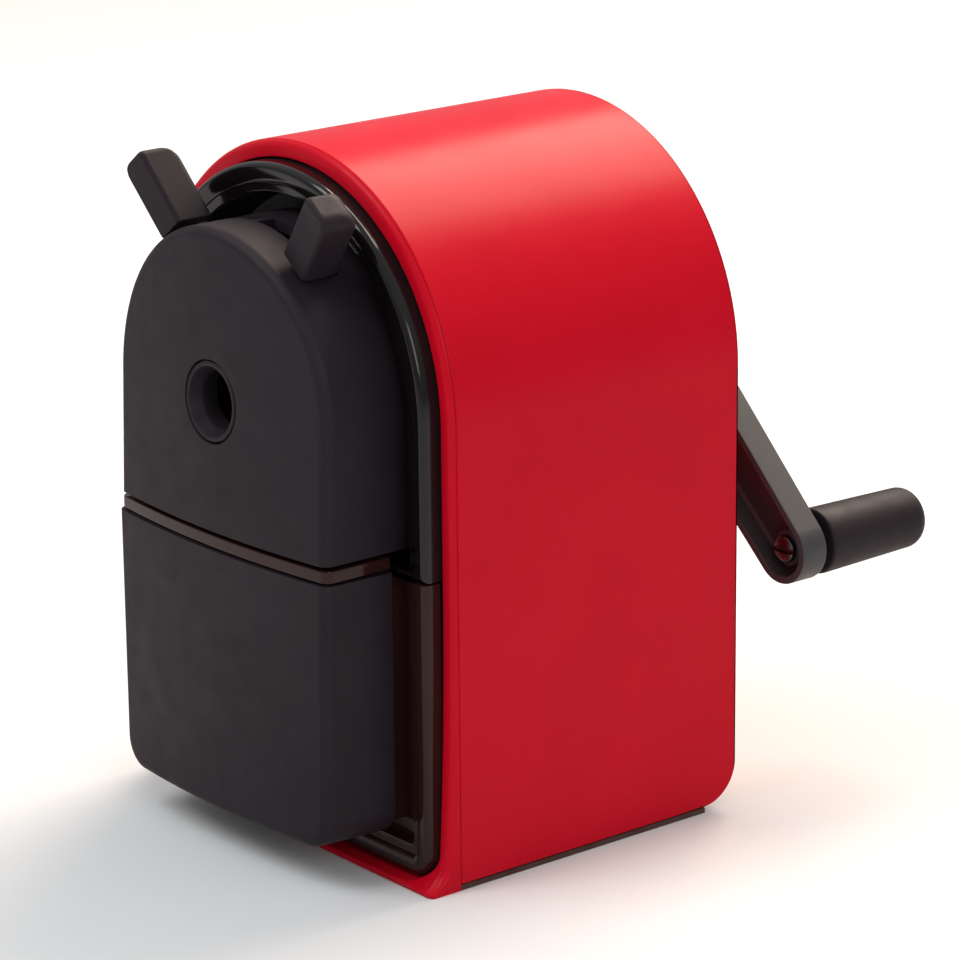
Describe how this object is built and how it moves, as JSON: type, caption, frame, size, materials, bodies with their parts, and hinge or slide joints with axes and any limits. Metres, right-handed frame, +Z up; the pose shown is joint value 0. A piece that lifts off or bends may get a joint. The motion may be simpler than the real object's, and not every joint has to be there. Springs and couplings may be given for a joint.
{
  "type": "crank pencil sharpener",
  "caption": "Desk pencil sharpener with an arched body, a spring-fed clamping carriage, a front shavings drawer and a rear hand crank.",
  "frame": {"origin": "on the underside of the base pad, midway across the width and midway between the body's front frame and rear cover", "axes": "+Z up, -Y towards the pencil hole and the drawer, +Y towards the crank, +X to the right seen from the front"},
  "size_m": [0.0823, 0.1223, 0.116],
  "materials": {
    "red_shell": "smooth deep red enamel, soft gloss",
    "gloss_black": "polished black ABS",
    "black_plastic": "fine matte moulded black, softly reflecting",
    "smoke_plastic": "smoke-tinted polystyrene, polished",
    "base_pad": "dark brown non-slip pad",
    "arm_enamel": "dark grey satin enamel",
    "steel": "bright pressed and turned steel",
    "dark_steel": "hardened and blackened steel",
    "bronze": "sintered bronze",
    "nylon": "natural nylon"
  },
  "bodies": {
    "housing": {"housing_shell": "red_shell", "front_frame": "red_shell", "front_bezel": "gloss_black", "base_pad": "base_pad", "base_plate": "black_plastic", "rear_cover": "red_shell", "rear_cover_screw_1": "dark_steel", "rear_cover_screw_2": "dark_steel", "rear_cover_screw_3": "dark_steel", "crank_bush": "bronze", "mechanism_plate": "steel", "ring_gear": "steel", "gear_post_1": "steel", "gear_post_2": "steel", "gear_post_3": "steel", "pencil_guide": "nylon", "rod_bush_left": "nylon", "rod_bush_right": "nylon", "feed_spring_left": "steel", "feed_spring_right": "steel"},
    "carriage": {"carriage_shell": "black_plastic", "carriage_back": "black_plastic", "pencil_ring": "black_plastic", "guide_rod_left": "steel", "guide_rod_right": "steel", "rod_clip_left": "dark_steel", "rod_clip_right": "dark_steel", "lever_pin_left": "steel", "lever_pin_right": "steel", "grip_spring": "steel"},
    "lever_left": {"lever_cap_left": "black_plastic", "lever_plate_left": "steel", "jaw_left": "dark_steel"},
    "lever_right": {"lever_cap_right": "black_plastic", "lever_plate_right": "steel", "jaw_right": "dark_steel"},
    "drawer": {"drawer_tray": "smoke_plastic", "drawer_cover": "black_plastic"},
    "crank": {"crank_arm": "arm_enamel", "knob_axle": "steel", "crank_shaft": "steel", "crank_nut": "dark_steel", "cutter_carrier": "steel", "cutter_axle": "steel"},
    "cutter": {"helical_cutter": "dark_steel", "cutter_pinion": "steel"},
    "knob": {"crank_knob": "black_plastic"}
  },
  "joints": [
    {"name": "crank_turn", "type": "hinge", "parent": "housing", "child": "crank", "pos_m": [0, 0, 0.0763], "axis": [0, 1, 0], "continuous": true},
    {"name": "cutter_spin", "type": "hinge", "parent": "crank", "child": "cutter", "pos_m": [0, 0.0112, 0.0823], "axis": [0, 0.9833, -0.1822], "continuous": true},
    {"name": "knob_spin", "type": "hinge", "parent": "crank", "child": "knob", "pos_m": [0.0367, 0.06, 0.04147], "axis": [0, 1, 0], "continuous": true},
    {"name": "carriage_slide", "type": "slide", "parent": "housing", "child": "carriage", "axis": [0, -1, 0], "range_m": [0, 0.03], "stiffness_N_per_m": 120, "springref_m": -0.02, "deforming": ["feed_spring_left", "feed_spring_right"]},
    {"name": "lever_left_squeeze", "type": "hinge", "parent": "carriage", "child": "lever_left", "pos_m": [-0.005, -0.037, 0.0902], "axis": [0, 1, 0], "range_deg": [0, 9], "stiffness_Nm_per_rad": 0.06, "springref_deg": -8.59, "deforming": ["grip_spring"]},
    {"name": "lever_right_squeeze", "type": "hinge", "parent": "carriage", "child": "lever_right", "pos_m": [0.005, -0.037, 0.0902], "axis": [0, 1, 0], "range_deg": [-9, 0]},
    {"name": "drawer_slide", "type": "slide", "parent": "housing", "child": "drawer", "axis": [0, -1, 0], "range_m": [0, 0.058]}
  ],
  "couplings": [
    {"joint": "cutter_spin", "follows": "crank_turn", "ratio": -2.1538},
    {"joint": "lever_right_squeeze", "follows": "lever_left_squeeze", "ratio": -1}
  ]
}
